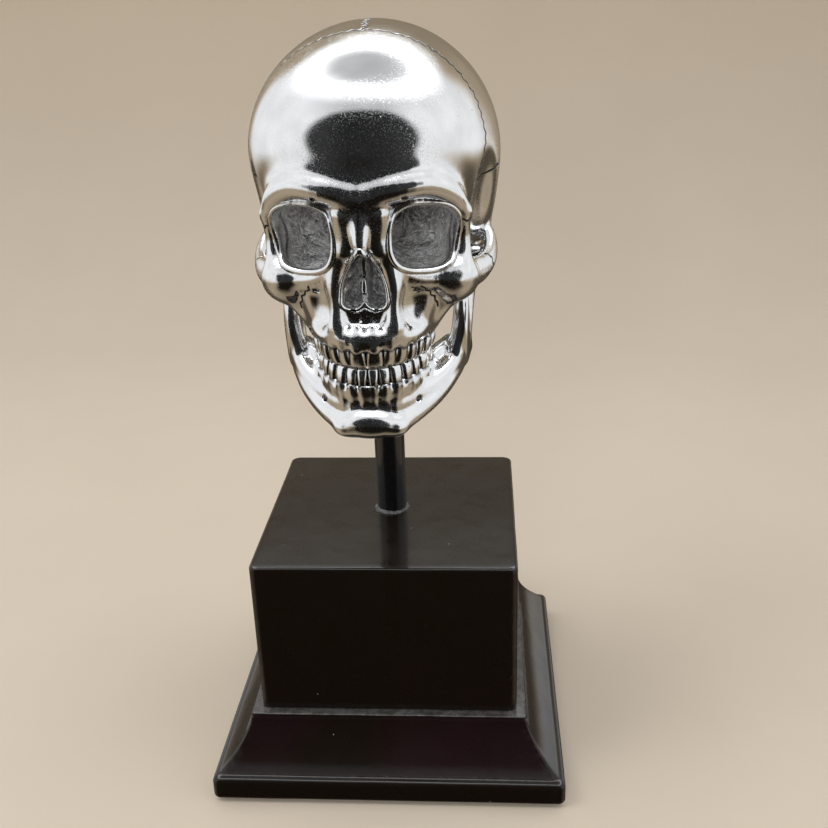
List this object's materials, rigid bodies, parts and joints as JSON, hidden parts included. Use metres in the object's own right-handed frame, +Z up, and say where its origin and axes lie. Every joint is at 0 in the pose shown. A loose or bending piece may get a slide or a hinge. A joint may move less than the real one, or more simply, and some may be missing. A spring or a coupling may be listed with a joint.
{
  "type": "skull sculpture on plinth",
  "caption": "Mirror-chrome skull ornament with a separate lower jaw, carried on a round black post above a lacquered square block with a moulded, felted base board.",
  "frame": {"origin": "centre of the underside of the felt, on the surface that the plinth stands on", "axes": "+Z up along the post, the face looks along -Y, +X towards the skull's left side"},
  "size_m": [0.136, 0.136, 0.2817],
  "materials": {
    "mirror_chrome": "polished",
    "plated_steel": "satin",
    "black_enamel": "gloss",
    "black_lacquer": "gloss",
    "sealant": "matte",
    "nylon": "satin",
    "beech": "matte",
    "black_felt": "matte"
  },
  "bodies": {
    "stand": {"friction_washer": "nylon", "post_tube": "black_enamel", "post_foot_bead": "sealant", "tie_rod": "plated_steel", "plinth_block": "black_lacquer", "plinth_base": "black_lacquer", "base_screws": "plated_steel", "glue_dowels": "beech", "load_washer": "plated_steel", "spring_washer": "plated_steel", "clamp_nut": "plated_steel", "felt_pad": "black_felt"},
    "skull": {"cranium": "mirror_chrome", "mandible": "mirror_chrome", "jaw_screws": "plated_steel", "skull_base_plate": "mirror_chrome", "plate_screws": "plated_steel"}
  },
  "joints": [
    {"name": "skull_turn", "type": "hinge", "parent": "stand", "child": "skull", "pos_m": [0, 0, 0.188], "axis": [0, 0, 1], "continuous": true}
  ]
}
